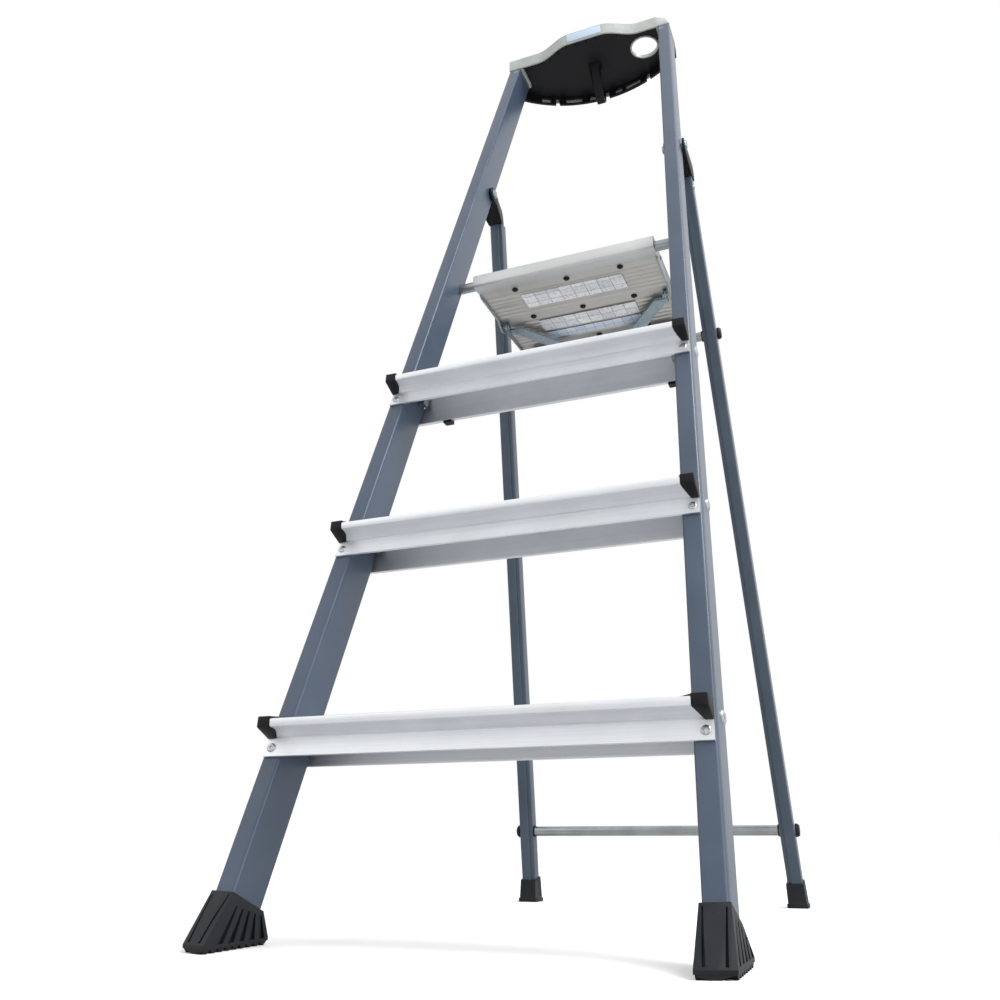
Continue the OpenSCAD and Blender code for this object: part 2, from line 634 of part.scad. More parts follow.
// Hinge knuckle: two cheeks on the stile's sides and a block that the leg's end seats on
module knuckle_outline() hull() {
    circle(lobe_r, $fn = 32);
    translate([leg_offset - 2, socket_z]) square([leg_d + 2, 10]);
    translate([leg_offset + leg_d - 14, socket_z + 14]) circle(14, $fn = 32);
}
module knuckle_block() difference() {
    knuckle_outline();
    clear = stile_d - hinge_set + move_gap;
    translate([-far + clear, -far / 2]) square([far, far]);
    rotate(-lean - rear_lean) translate([-far + clear, -far / 2]) square([far, far]);
}
module hinge_knuckle(side) color(black_plastic) placed() {
    fit = leg_wall + seat_gap;
    leg_frame() mirror([side < 0 ? 1 : 0, 0, 0]) difference() {
        union() {
            extrude_x(cheek_in - cheek_t, cheek_in) knuckle_outline();
            extrude_x(cheek_out, cheek_out + outer_cheek_t) knuckle_outline();
            extrude_x(cheek_in - 1, cheek_out + 1) knuckle_block();
        }
        across(floor_w, 0, 0, hinge_d / 2 + pin_clear);
    }
    // Spigot inside the leg's tube
    leg_side(side) translate([-leg_w + fit, leg_offset + rebate_d + fit, socket_z - spigot_l])
        cube([leg_w - 2 * fit, leg_d - rebate_d - 2 * fit, spigot_l + 4]);
}
module knuckle_rivets() color(zinc) placed() for (s = sides) leg_side(s)
    translate([0, leg_offset + leg_d / 2, socket_z - 14]) rotate([0, 90, 0])
        rotate_extrude($fn = 24) polygon([[0, 0.05], [4, 0.05], [3.4, 1.3], [0, 1.8]]);

module cross_tube(z, length) color(steel) placed() difference() {
    across(length, leg_y(z), z, rod_r);
    across(length + 2, leg_y(z), z, rod_r - tube_wall);
}
function leg_out(z) = leg_half_w + leg_along(z) * -tan(rear_splay);
cross_tubes = [lower_tube_z, upper_tube_z];
module cross_tube_bushings() color(black_plastic) placed()
    for (z = cross_tubes, s = sides) difference() {
        translate([s * (leg_out(z) - leg_w - 1.5), leg_y(z), z]) rotate([0, 90, 0])
            cylinder(h = 1.8, r = rod_r + 1.2, center = true);
        across(floor_w, leg_y(z), z, rod_r + seat_gap);
    }
module cross_tube_end_caps() color(black_plastic) placed()
    for (z = cross_tubes, s = sides) mirror([s < 0 ? 1 : 0, 0, 0])
        translate([leg_out(z) + 1.2, leg_y(z), z]) rotate([0, 90, 0])
            rotate_extrude() polygon([[0, 0], [rod_r + 2, 0], [rod_r + 2, 3], [rod_r, 5.5],
                [0, 6]]);

// Rear feet: flared boots on the leg ends
module rear_foot(side) color(black_plastic) placed() difference() {
    hull() {
        leg_side(side) translate([-leg_w - 2, leg_offset - 2, leg_along(0) + 31])
            cube([leg_w + 4, leg_d + 4, 3]);
        mirror([side < 0 ? 1 : 0, 0, 0])
            translate([leg_out(0) - leg_w / 2 - 14, leg_y(0) - 15, 0]) cube([28, 15 + rear_heel, 6]);
    }
    intersection() {
        leg_side(side) translate([-leg_w - seat_gap, leg_offset - seat_gap, leg_along(0) - 30])
            cube([leg_w + 2 * seat_gap, leg_d + 2 * seat_gap, 120]);
        above(sole_t - seat_gap);
    }
}

front_stile(-1);  // front_stile_left
front_stile(1);  // front_stile_right
step(tread_z[0]);  // step_lower
step(tread_z[1]);  // step_middle
step(tread_z[2]);  // step_upper
step_corner_caps();
step_end_brackets();
step_front_rivets();
step_side_rivets();
front_foot(-1);  // front_foot_left
front_foot(1);  // front_foot_right
closing_clips();
platform_hinge_rod();
hinge_rivets();
hinge_washers();
tray_shell();
tray_base();
tray_label_plate();
tray_screws();
bucket_hook();
platform_nose();
plank(0);  // platform_front_plank
plank(1);  // platform_middle_plank
plank(2);  // platform_rear_plank
side_plate(-1);  // platform_side_plate_left
side_plate(1);  // platform_side_plate_right
platform_side_screws();
platform_plugs();
platform_label_plates();
platform_rest_pads();
stay_pins();
strap(-1);  // stay_strap_left
strap(1);  // stay_strap_right
stay_hook_plate();
stay_rivets();
rear_leg(-1);  // rear_leg_left
rear_leg(1);  // rear_leg_right
hinge_knuckle(-1);  // hinge_knuckle_left
hinge_knuckle(1);  // hinge_knuckle_right
knuckle_rivets();
cross_tube(lower_tube_z, 2 * leg_out(lower_tube_z) + 2);  // lower_cross_tube
cross_tube(upper_tube_z, 2 * leg_out(upper_tube_z) + 2);  // upper_cross_tube
cross_tube_bushings();
cross_tube_end_caps();
rear_foot(-1);  // rear_foot_left
rear_foot(1);  // rear_foot_right
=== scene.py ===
import json
import math

import bmesh
import bpy
from mathutils import Matrix, Vector


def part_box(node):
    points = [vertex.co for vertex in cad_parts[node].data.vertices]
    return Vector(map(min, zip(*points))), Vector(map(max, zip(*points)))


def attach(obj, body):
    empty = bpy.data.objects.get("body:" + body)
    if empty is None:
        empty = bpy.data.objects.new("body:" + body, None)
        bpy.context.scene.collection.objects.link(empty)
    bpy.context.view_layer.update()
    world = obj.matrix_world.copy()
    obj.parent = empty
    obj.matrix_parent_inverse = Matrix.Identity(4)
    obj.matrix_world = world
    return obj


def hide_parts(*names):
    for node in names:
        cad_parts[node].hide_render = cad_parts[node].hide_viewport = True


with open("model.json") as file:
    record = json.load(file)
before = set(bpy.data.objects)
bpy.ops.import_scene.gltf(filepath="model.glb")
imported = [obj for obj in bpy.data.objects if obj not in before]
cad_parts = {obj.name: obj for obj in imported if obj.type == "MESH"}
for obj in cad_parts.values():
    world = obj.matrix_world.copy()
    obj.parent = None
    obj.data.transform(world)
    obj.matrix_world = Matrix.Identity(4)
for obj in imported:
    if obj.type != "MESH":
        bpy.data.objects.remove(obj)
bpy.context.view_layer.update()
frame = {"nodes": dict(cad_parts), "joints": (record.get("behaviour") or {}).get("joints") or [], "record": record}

# Sizes are in millimetres unless a name says otherwise. X is across the ladder, -Y is the side
# that is climbed, Z is up.
MM = 0.001
SIDES = (-1, 1)
SMOOTH = math.radians(32)

# Stance of the ladder
LEAN = math.radians(21.3)
SPLAY = math.radians(2.9)
REAR_LEAN = math.radians(12.7)
REAR_SPLAY = math.radians(2.05)

PIVOTS = {joint["name"]: Vector(joint["pos_m"]) for joint in frame["joints"]}
ROD = PIVOTS["platform_fold"] / MM
HINGE = PIVOTS["rear_fold"] / MM
PIN = PIVOTS["stay_swing"] / MM


def box_mm(node):
    low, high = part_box(node)
    return low / MM, high / MM


STILE_W, STILE_D = 20, 47
# Height at which the stiles and legs end inside their feet
TUBE_FOOT = 7
LEG_W, LEG_D, LEG_OFFSET = 20, 21, 47.5
# Depths of the rod and of the hinge rivets behind the front plane of the stiles
ROD_DEPTH, HINGE_DEPTH = 39.4, 37.5
# How far a front boot flares past its stile, and how far the legs stand out past the stiles
BOOT_FLARE, LEG_OUT = 4.3, 2
FLOOR_HALF = box_mm("front_foot_right")[1].x - BOOT_FLARE
FRONT_Y0 = ROD.y - ROD_DEPTH / math.cos(LEAN) - ROD.z * math.tan(LEAN)
STILE_TOP = box_mm("front_stile_right")[1].z
TREAD_Z = [box_mm(node)[1].z for node in ("step_lower", "step_middle", "step_upper")]


def front_y(z):
    """Front plane of the stiles at a height."""
    return FRONT_Y0 + z * math.tan(LEAN)


def half_w(z):
    """Outer half width of the front frame at a height."""
    return FLOOR_HALF - z * math.tan(SPLAY) / math.cos(LEAN)


LEG_HALF = half_w(HINGE.z) + LEG_OUT


def along(z, x=0, y=0):
    """Distance up a stile, from the floor, of a height at x across and y deep in the stile."""
    up = (z + y * math.sin(LEAN)) / math.cos(LEAN)
    return (up - x * math.sin(SPLAY)) / math.cos(SPLAY)


def leg_along(z):
    """Distance up a rear leg from the hinge; it is negative below it."""
    middle = LEG_OFFSET + LEG_D / 2
    return (z - HINGE.z - middle * math.sin(REAR_LEAN)) / math.cos(REAR_LEAN)


def turn(axis, angle):
    return Matrix.Rotation(angle, 4, axis)


# Places of the right-hand stile, rear hinge and rear leg, whose pieces are modelled upright at zero
AT_STILE = Matrix.Translation((FLOOR_HALF, FRONT_Y0, 0)) @ turn("X", -LEAN) @ turn("Y", -SPLAY)
AT_HINGE = Matrix.Translation(HINGE) @ turn("X", REAR_LEAN)
AT_LEG = AT_HINGE @ Matrix.Translation((LEG_HALF, 0, 0)) @ turn("Y", -REAR_SPLAY)


# ---------------------------------------------------------------------------------------------
# Materials
# ---------------------------------------------------------------------------------------------

def paint(code):
    """An sRGB hex colour as linear red, green, blue and alpha."""
    channels = [int(code[i:i + 2], 16) / 255 for i in (1, 3, 5)]
    return [c / 12.92 if c <= 0.04045 else ((c + 0.055) / 1.055) ** 2.4 for c in channels] + [1]


def add(tree, kind, settings=None, links=None):
    """Adds a node; settings are its sockets' values or its own properties, links its inputs."""
    made = tree.nodes.new("ShaderNode" + kind)
    for key, value in (settings or {}).items():
        if isinstance(key, str) and hasattr(made, key):
            setattr(made, key, value)
        else:
            made.inputs[key].default_value = value
    for key, source in (links or {}).items():
        tree.links.new(source, made.inputs[key])
    return made


def start(name):
    """A new material with its tree emptied, and the place on the piece in metres."""
    material = bpy.data.materials.new(name)
    material.use_nodes = True
    tree = material.node_tree
    tree.nodes.clear()
    place = add(tree, "TexCoord").outputs["Object"]
    return material, tree, place


def close(tree, settings, links):
    shader = add(tree, "BsdfPrincipled", settings, links)
    add(tree, "OutputMaterial", links={"Surface": shader.outputs["BSDF"]})


def ramp(tree, source, stops):
    """A colour ramp from (position, sRGB hex) stops."""
    made = add(tree, "ValToRGB", links={"Fac": source})
    elements = made.color_ramp.elements
    while len(elements) < len(stops):
        elements.new(0.5)
    for element, (position, code) in zip(elements, stops):
        element.position = position
        element.color = paint(code)
    return made.outputs["Color"]


def spread(tree, source, low, high):
    """A 0 to 1 value brought to a range."""
    made = add(tree, "MapRange", {"To Min": low, "To Max": high}, {"Value": source})
    return made.outputs["Result"]


def per_mm(size):
    """Texture scale for features of a size in millimetres."""
    return 1 / (size * MM)


def powder_coat(name, dark, light, roughness):
    # Polyester powder coat sprayed on an aluminium extrusion: satin, with a soft orange peel
    # and faint clouds where hands have polished it.
    material, tree, place = start(name)
    clouds = add(tree, "TexNoise", {"Scale": per_mm(70), "Detail": 4.0}, {"Vector": place})
    # The peel is 1 mm across in life and is drawn at 2.5 mm, so that it shows
    peel = add(tree, "TexNoise", {"Scale": per_mm(2.5), "Detail": 2.0}, {"Vector": place})
    specks = add(tree, "TexNoise", {"Scale": per_mm(0.9), "Detail": 1.0}, {"Vector": place})
    colour = ramp(tree, clouds.outputs["Fac"], [(0.3, dark), (0.7, light)])
    tint = add(tree, "MixRGB", {"blend_type": "MULTIPLY", "Fac": 0.12},
               {"Color1": colour, "Color2": specks.outputs["Color"]})
    bump = add(tree, "Bump", {"Strength": 0.12, "Distance": 0.15 * MM},
               {"Height": peel.outputs["Fac"]})
    close(tree, {"Specular IOR Level": 0.5},
          {"Base Color": tint.outputs["Color"],
           "Roughness": spread(tree, clouds.outputs["Fac"], roughness - 0.05, roughness + 0.06),
           "Normal": bump.outputs["Normal"]})
    return material


def extruded(name, dark, light, roughness, line_mm, depth):
    # Bare aluminium straight from the die: satin, with fine lines that run along the section,
    # which lies along X, and a slightly cloudy oxide.
    material, tree, place = start(name)
    drawn_out = add(tree, "Mapping", {"Scale": (0.006, 1, 1)}, {"Vector": place})
    lines = add(tree, "TexNoise", {"Scale": per_mm(line_mm), "Detail": 3.0, "Roughness": 0.65},
                {"Vector": drawn_out.outputs["Vector"]})
    oxide = add(tree, "TexNoise", {"Scale": per_mm(45), "Detail": 5.0, "Roughness": 0.6},
                {"Vector": place})
    both = add(tree, "Mix", {"data_type": "FLOAT", 0: 0.45},
               {2: lines.outputs["Fac"], 3: oxide.outputs["Fac"]})
    bump = add(tree, "Bump", {"Strength": 0.3, "Distance": depth * MM},
               {"Height": lines.outputs["Fac"]})
    close(tree, {"Metallic": 1.0},
          {"Base Color": ramp(tree, both.outputs[0], [(0.3, dark), (0.7, light)]),
           "Roughness": spread(tree, both.outputs[0], roughness - 0.08, roughness + 0.1),
           "Normal": bump.outputs["Normal"]})
    return material


def moulded(name, dark, light, roughness, grain_mm, depth, shine=0.5):
    # Injection-moulded plastic or rubber: a spark-eroded grain, drawn about twice as coarse as
    # it is so that it shows, and dull patches where it has been rubbed or is dusty.
    material, tree, place = start(name)
    grain = add(tree, "TexVoronoi", {"Scale": per_mm(grain_mm)}, {"Vector": place})
    dust = add(tree, "TexNoise", {"Scale": per_mm(22), "Detail": 6.0, "Roughness": 0.65},
               {"Vector": place})
    bump = add(tree, "Bump", {"Strength": 0.35, "Distance": depth * MM},
               {"Height": grain.outputs["Distance"]})
    close(tree, {"IOR": 1.5, "Specular IOR Level": shine},
          {"Base Color": ramp(tree, dust.outputs["Fac"], [(0.35, dark), (0.75, light)]),
           "Roughness": spread(tree, dust.outputs["Fac"], roughness - 0.08, roughness + 0.1),
           "Normal": bump.outputs["Normal"]})
    return material


def zinc_plate(name, dark, light):
    # Bright zinc with a blue passivate on pressed steel: bluish, with small crystal patches.
    material, tree, place = start(name)
    crystals = add(tree, "TexVoronoi", {"Scale": per_mm(3.5), "Randomness": 1.0}, {"Vector": place})
    clouds = add(tree, "TexNoise", {"Scale": per_mm(18), "Detail": 4.0}, {"Vector": place})
    both = add(tree, "Mix", {"data_type": "FLOAT", 0: 0.6},
               {2: crystals.outputs["Color"], 3: clouds.outputs["Fac"]})
    close(tree, {"Metallic": 1.0},
          {"Base Color": ramp(tree, both.outputs[0], [(0.3, dark), (0.7, light)]),
           "Roughness": spread(tree, both.outputs[0], 0.28, 0.42)})
    return material


def label_film(name, ground, tint, ink, cell_mm, speckle):
    # Printed polyester film with its print left blank: pale panels of two tints between thin
    # ruled lines, some of them with a fine mottle where a print would be.
    material, tree, place = start(name)
    flat = add(tree, "Mapping", {"Scale": (1, 1, 0)}, {"Vector": place})
    panels = add(tree, "TexBrick", {"Scale": 1.0, "Mortar Size": 0.5 * MM, "Mortar Smooth": 0.2,
                                    "Brick Width": cell_mm * MM, "Row Height": 17 * MM,
                                    "offset": 0.0, "Color1": paint(ground),
                                    "Color2": paint(tint), "Mortar": paint(ink)},
                 {"Vector": flat.outputs["Vector"]})
    blots = add(tree, "TexNoise", {"Scale": per_mm(3.2), "Detail": 1.0}, {"Vector": place})
    mottle = ramp(tree, blots.outputs["Fac"], [(0.55, "#ffffff"), (0.6, "#80848b")])
    both = add(tree, "MixRGB", {"blend_type": "MULTIPLY", "Fac": speckle},
               {"Color1": panels.outputs["Color"], "Color2": mottle})
    close(tree, {"Roughness": 0.35, "IOR": 1.5}, {"Base Color": both.outputs["Color"]})
    return material


slate = powder_coat("powder_coat_slate", "#394759", "#435063", 0.34)
dark_slate = powder_coat("powder_coat_dark_slate", "#3a4856", "#44515f", 0.32)
tread_alloy = extruded("extruded_aluminium_treads", "#dcdfe3", "#eef0f3", 0.46, 0.9, 0.03)
deck_alloy = extruded("mill_aluminium_platform", "#b9b7b3", "#d2d0cc", 0.5, 1.6, 0.03)
nose_alloy = extruded("extruded_aluminium_nose", "#c0c3c3", "#d3d6d5", 0.5, 1.2, 0.03)
tube_alloy = extruded("drawn_aluminium_tube", "#7f8486", "#b7bcbf", 0.3, 2.2, 0.06)
black_plastic = moulded("moulded_polypropylene_black", "#0d0d11", "#15151a", 0.48, 0.9, 0.05, 0.22)
black_rubber = moulded("moulded_rubber_black", "#111418", "#191d21", 0.5, 1.2, 0.05, 0.28)
grey_plastic = moulded("moulded_abs_grey", "#999e9a", "#abb0ac", 0.3, 0.8, 0.02)
zinc = zinc_plate("zinc_plated_steel", "#8395a0", "#9caab3")
rivet_steel = zinc_plate("bright_zinc_rivets", "#9aa0a5", "#d2d6d9")
white_film = label_film("blank_label_film", "#eef0f3", "#cfd3d9", "#989ca3", 19, 0.3)
blue_film = label_film("blank_label_film_blue", "#e0e8f2", "#c3d1e4", "#8fa5c4", 15, 0.1)
plate_film = label_film("blank_plate_film", "#b4c4d8", "#b4c4d8", "#b4c4d8", 80, 0.0)

FINISH = {
    "slate_coated_aluminium": slate,
    "dark_slate_coated_aluminium": dark_slate,
    "bare_aluminium": tread_alloy,
    "platform_aluminium": deck_alloy,
    "black_plastic": black_plastic,
    "black_rubber": black_rubber,
    "grey_plastic": grey_plastic,
    "blank_label": white_film,
    "zinc_plated_steel": zinc,
    "drawn_tube": tube_alloy,
}
SLOT = {part["node"]: part["material_slot"] for part in frame["record"]["subparts"]}
for node, slot_name in SLOT.items():
    for holder in frame["nodes"][node].material_slots:
        holder.material = FINISH[slot_name]
for node in ("step_front_rivets", "step_side_rivets"):
    frame["nodes"][node].material_slots[0].material = rivet_steel
frame["nodes"]["step_end_brackets"].material_slots[0].material = tube_alloy
frame["nodes"]["platform_nose"].material_slots[0].material = nose_alloy

# ---------------------------------------------------------------------------------------------
# Bench tools
# ---------------------------------------------------------------------------------------------


def select_only(*pieces):
    if bpy.context.object and bpy.context.object.mode != "OBJECT":
        bpy.ops.object.mode_set(mode="OBJECT")
    bpy.ops.object.select_all(action="DESELECT")
    for piece in pieces:
        piece.select_set(True)
    bpy.context.view_layer.objects.active = pieces[0]


def edit(piece):
    select_only(piece)
    bpy.ops.object.mode_set(mode="EDIT")


def done():
    bpy.ops.object.mode_set(mode="OBJECT")
    return bpy.context.object


def pick(kind, wanted=None, facing=None, running=None):
    """Selects the vertices, edges or faces of the piece in hand whose corners are all where
    wanted(x, y, z) says, in mm; faces may be asked to face one way, and edges to run one way."""
    bpy.ops.mesh.select_mode(type=kind)
    bpy.ops.mesh.select_all(action="DESELECT")
    mesh = bmesh.from_edit_mesh(bpy.context.edit_object.data)
    for part in {"VERT": mesh.verts, "EDGE": mesh.edges, "FACE": mesh.faces}[kind]:
        corners = [part] if kind == "VERT" else part.verts
        if wanted and not all(wanted(*(corner.co / MM)) for corner in corners):
            continue
        if facing and part.normal.dot(Vector(facing)) < 0.7:
            continue
        if running:
            ends = part.verts[1].co - part.verts[0].co
            if abs(ends.normalized().dot(Vector(running))) < 0.99:
                continue
        part.select_set(True)
    mesh.select_flush_mode()
    bmesh.update_edit_mesh(bpy.context.edit_object.data)


def bevel(offset, segments=2, corners=False):
    bpy.ops.mesh.bevel(offset=offset * MM, offset_type="OFFSET", segments=segments, profile=0.5,
                       affect="VERTICES" if corners else "EDGES", clamp_overlap=True)


def pull(x=0, y=0, z=0):
    """Extrudes what is selected and moves it."""
    bpy.ops.mesh.extrude_region_move(TRANSFORM_OT_translate={"value": (x * MM, y * MM, z * MM)})


def move(x=0, y=0, z=0):
    bpy.ops.transform.translate(value=(x * MM, y * MM, z * MM))


def cut(point, normal, keep_both=False):
    """Cuts the piece in hand with a plane and takes away the side the normal points to."""
    bpy.ops.mesh.select_all(action="SELECT")
    bpy.ops.mesh.bisect(plane_co=Vector(point) * MM, plane_no=normal, use_fill=not keep_both,
                        clear_outer=not keep_both, threshold=1e-6)


def block(name, low, high):
    """A rectangular block between two corners."""
    low, high = Vector(low), Vector(high)
    bpy.ops.mesh.primitive_cube_add(size=1, location=(low + high) / 2 * MM)
    piece = bpy.context.object
    piece.name = piece.data.name = name
    piece.scale = (high - low) * MM
    select_only(piece)
    bpy.ops.object.transform_apply(location=True, rotation=True, scale=True)
    return piece


def round_bar(name, centre, axis, radius, length, sides=48):
    """A round bar whose middle is at a point."""
    turned = {"X": (0, math.pi / 2, 0), "Y": (math.pi / 2, 0, 0), "Z": (0, 0, 0)}[axis]
    bpy.ops.mesh.primitive_cylinder_add(vertices=sides, radius=radius * MM, depth=length * MM,
                                        location=Vector(centre) * MM, rotation=turned)
    piece = bpy.context.object
    piece.name = piece.data.name = name
    select_only(piece)
    bpy.ops.object.transform_apply(location=True, rotation=True, scale=True)
    return piece


def drawn(name, axis, low, high, outline):
    """A section drawn point by point and pulled along an axis: (y, z) points for X, (x, z)
    points for Y and (x, y) points for Z."""
    def place(point, level):
        a, b = point
        return Vector({"X": (level, a, b), "Y": (a, level, b), "Z": (a, b, level)}[axis]) * MM

    bpy.ops.mesh.primitive_plane_add(size=MM, location=(0, 0, 0))
    piece = bpy.context.object
    piece.name = piece.data.name = name
    select_only(piece)
    bpy.ops.object.mode_set(mode="EDIT")
    bpy.ops.mesh.select_mode(type="VERT")
    bpy.ops.mesh.select_all(action="SELECT")
    bpy.ops.mesh.merge(type="CENTER")
    corners = [place(point, low) for point in outline]
    bpy.ops.transform.translate(value=corners[0])
    for before, after in zip(corners, corners[1:]):
        bpy.ops.mesh.extrude_vertices_move(TRANSFORM_OT_translate={"value": after - before})
    bpy.ops.mesh.select_all(action="SELECT")
    bpy.ops.mesh.edge_face_add()
    bpy.ops.mesh.select_all(action="SELECT")
    bpy.ops.mesh.extrude_region_move(
        TRANSFORM_OT_translate={"value": place((0, 0), high) - place((0, 0), low)})
    bpy.ops.mesh.select_all(action="SELECT")
    bpy.ops.mesh.normals_make_consistent(inside=False)
    return done()


def arc(centre, radius, start_deg, end_deg, count):
    """Points round part of a circle."""
    angles = [math.radians(start_deg + (end_deg - start_deg) * i / count) for i in range(count + 1)]
    return [(centre[0] + radius * math.cos(angle), centre[1] + radius * math.sin(angle))
            for angle in angles]


def soften(piece, width, segments=2, angle=30):
    """Rounds every edge that is sharper than an angle."""
    select_only(piece)
    made = piece.modifiers.new("soften", "BEVEL")
    made.width = width * MM
    made.segments = segments
    made.limit_method = "ANGLE"
    made.angle_limit = math.radians(angle)
    made.use_clamp_overlap = True
    bpy.ops.object.modifier_apply(modifier=made.name)
    return piece


def combine(piece, other, how):
    """Applies one solid to another by a boolean, and uses it up."""
    select_only(piece)
    made = piece.modifiers.new("combine", "BOOLEAN")
    made.operation = how
    made.solver = "EXACT"
    made.object = other
    bpy.ops.object.modifier_apply(modifier=made.name)
    bpy.data.objects.remove(other)
    return piece


def carve(piece, other):
    """Takes another solid away from a piece."""
    return combine(piece, other, "DIFFERENCE")


def fuse(piece, other):
    """Makes one solid of two."""
    return combine(piece, other, "UNION")


def put(piece, place):
    """Moves a piece's mesh by a matrix whose sizes are in mm."""
    select_only(piece)
    metres = place.copy()
    metres.translation = place.translation * MM
    piece.matrix_world = metres
    bpy.ops.object.transform_apply(location=True, rotation=True, scale=True)
    return piece


def twin(piece, name):
    """A mirrored copy for the left-hand side, with its own mesh."""
    select_only(piece)
    bpy.ops.object.duplicate()
    copy = bpy.context.object
    copy.name = copy.data.name = name
    copy.scale = (-1, 1, 1)
    bpy.ops.object.transform_apply(location=True, rotation=True, scale=True)
    edit(copy)
    bpy.ops.mesh.select_all(action="SELECT")
    bpy.ops.mesh.normals_make_consistent(inside=False)
    return done()


def on_side(piece, side):
    """A right-hand piece as it is, or replaced by its mirror image on the left."""
    if side > 0:
        return piece
    left = twin(piece, "left")
    bpy.data.objects.remove(piece)
    return left


def drag(point, shift, reach=0.1):
    """Moves the vertex of the piece in hand that is at a point."""
    pick("VERT", lambda x, y, z: (Vector((x, y, z)) - point).length < reach)
    move(*shift)


def joined(name, pieces):
    select_only(*pieces)
    bpy.ops.object.join()
    piece = bpy.context.object
    piece.name = piece.data.name = name
    return piece


def finished(piece, name, body, nodes, finish, smooth=SMOOTH):
    """Cleans a piece's mesh, names it and hangs it on its body in place of its CAD nodes."""
    edit(piece)
    bpy.ops.mesh.select_all(action="SELECT")
    bpy.ops.mesh.remove_doubles(threshold=0.01 * MM)
    done()
    piece.name = piece.data.name = name
    piece.data.materials.clear()
    piece.data.materials.append(finish)
    select_only(piece)
    bpy.ops.object.shade_smooth_by_angle(angle=smooth)
    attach(piece, body)
    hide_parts(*nodes)
    return piece


def finished_pair(piece, name, body, node, finish):
    """Finishes a right-hand piece and its mirror image, each in place of its own CAD node."""
    left = twin(piece, name + "_left")
    finished(piece, name + "_right", body, [node + "_right"], finish)
    finished(left, name + "_left", body, [node + "_left"], finish)


# ---------------------------------------------------------------------------------------------
# Stiles
# ---------------------------------------------------------------------------------------------

def stile():
    """Rounded box extrusion with a fine groove down its outer side."""
    length = along(STILE_TOP) + 60
    piece = block("stile", (-STILE_W, 0, -30), (0, STILE_D, length))
    edit(piece)
    pick("EDGE", running=(0, 0, 1))
    bevel(3, 5)
    groove = 5, 6.3
    for depth in groove:
        cut((0, depth, 0), (0, 1, 0), keep_both=True)
    pick("FACE", lambda x, y, z: x > -0.01 and groove[0] - 0.1 < y < groove[1] + 0.1,
         facing=(1, 0, 0))
    pull(x=-0.9)
    done()
    put(piece, AT_STILE)
    edit(piece)
    cut((0, 0, TUBE_FOOT), (0, 0, -1))
    cut((0, 0, STILE_TOP), (0, 0, 1))
    return done()


finished_pair(stile(), "stile", "front_frame", "front_stile", slate)

# ---------------------------------------------------------------------------------------------
# Treads
# ---------------------------------------------------------------------------------------------

NOSE, TREAD_BACK, TREAD_WALL, BAND_H = 30, 45, 2, 8
FLANGE_TOP, FLANGE_BOTTOM, FLANGE_T, SKIRT_H = 17.5, 34, 3, 39.7


def tread_outline(z):
    """Section of a tread, in (y, z): ribbed top, rounded nose band, hollowed underside of the
    nose, the riveted flange under it, the top's underside and the rear skirt with its lip."""
    y0 = front_y(z)

    def at(y, drop):
        return (y0 + y, z - drop)

    def plane(drop):
        """Front plane of the stiles, so far below the tread."""
        return -drop * math.tan(LEAN)

    outline = [at(TREAD_BACK, SKIRT_H), at(TREAD_BACK, 0.6), at(TREAD_BACK - 0.6, 0)]
    ribs = 14
    for i in range(ribs):
        y = TREAD_BACK - 4 - 5 * i
        outline += [at(y, 0), at(y - 0.4, 0.9), at(y - 2.2, 0.9), at(y - 2.6, 0)]
    outline += [at(-NOSE + 1.6, 0), at(-NOSE + 0.4, 0.5), at(-NOSE, 1.6),
                at(-NOSE, BAND_H - 1.8), at(-NOSE + 0.6, BAND_H - 0.5), at(-NOSE + 2, BAND_H)]
    flange = plane(FLANGE_TOP) - FLANGE_T
    cove_steps = 6
    for i in range(1, cove_steps + 1):
        share = i / cove_steps
        sag = 1.6 * math.sin(math.pi * share)
        outline.append(at((-NOSE + 2) * (1 - share) + (flange + 0.8) * share + sag * 0.6,
                          BAND_H * (1 - share) + (FLANGE_TOP - 2.4) * share - sag))
    outline += [at(flange, FLANGE_TOP - 1.4), at(flange - 0.3, FLANGE_TOP - 0.4),
                at(flange - 0.2, FLANGE_TOP + 0.8)]
    outline += [at(plane(FLANGE_BOTTOM) - FLANGE_T, FLANGE_BOTTOM - 0.6),
                at(plane(FLANGE_BOTTOM) - FLANGE_T + 0.8, FLANGE_BOTTOM),
                at(plane(FLANGE_BOTTOM), FLANGE_BOTTOM), at(plane(4), 4),
                at(plane(4) + 2, TREAD_WALL), at(TREAD_BACK - 2 * TREAD_WALL, TREAD_WALL),
                at(TREAD_BACK - TREAD_WALL, TREAD_WALL + 2),
                at(TREAD_BACK - TREAD_WALL, SKIRT_H - TREAD_WALL),
                at(TREAD_BACK - 3 * TREAD_WALL, SKIRT_H - TREAD_WALL),
                at(TREAD_BACK - 3 * TREAD_WALL, SKIRT_H)]
    return outline


def tread(z):
    piece = drawn("tread", "X", -FLOOR_HALF - 10, FLOOR_HALF + 10, tread_outline(z))
    gap, inset = 0.4, 2
    for side in SIDES:
        room = block("room", (-STILE_W - gap, 0.02, -200), (200, STILE_D + gap, 1600))
        carve(piece, on_side(put(room, AT_STILE), side))
    outward = AT_STILE.to_3x3() @ Vector((1, 0, 0))
    edge = AT_STILE @ Vector((-inset, 0, 0))
    edit(piece)
    cut(edge, outward)
    cut((-edge.x, edge.y, edge.z), (-outward.x, outward.y, outward.z))
    return done()


for node, z in zip(("step_lower", "step_middle", "step_upper"), TREAD_Z):
    finished(tread(z), node.replace("step", "tread"), "front_frame", [node], tread_alloy)


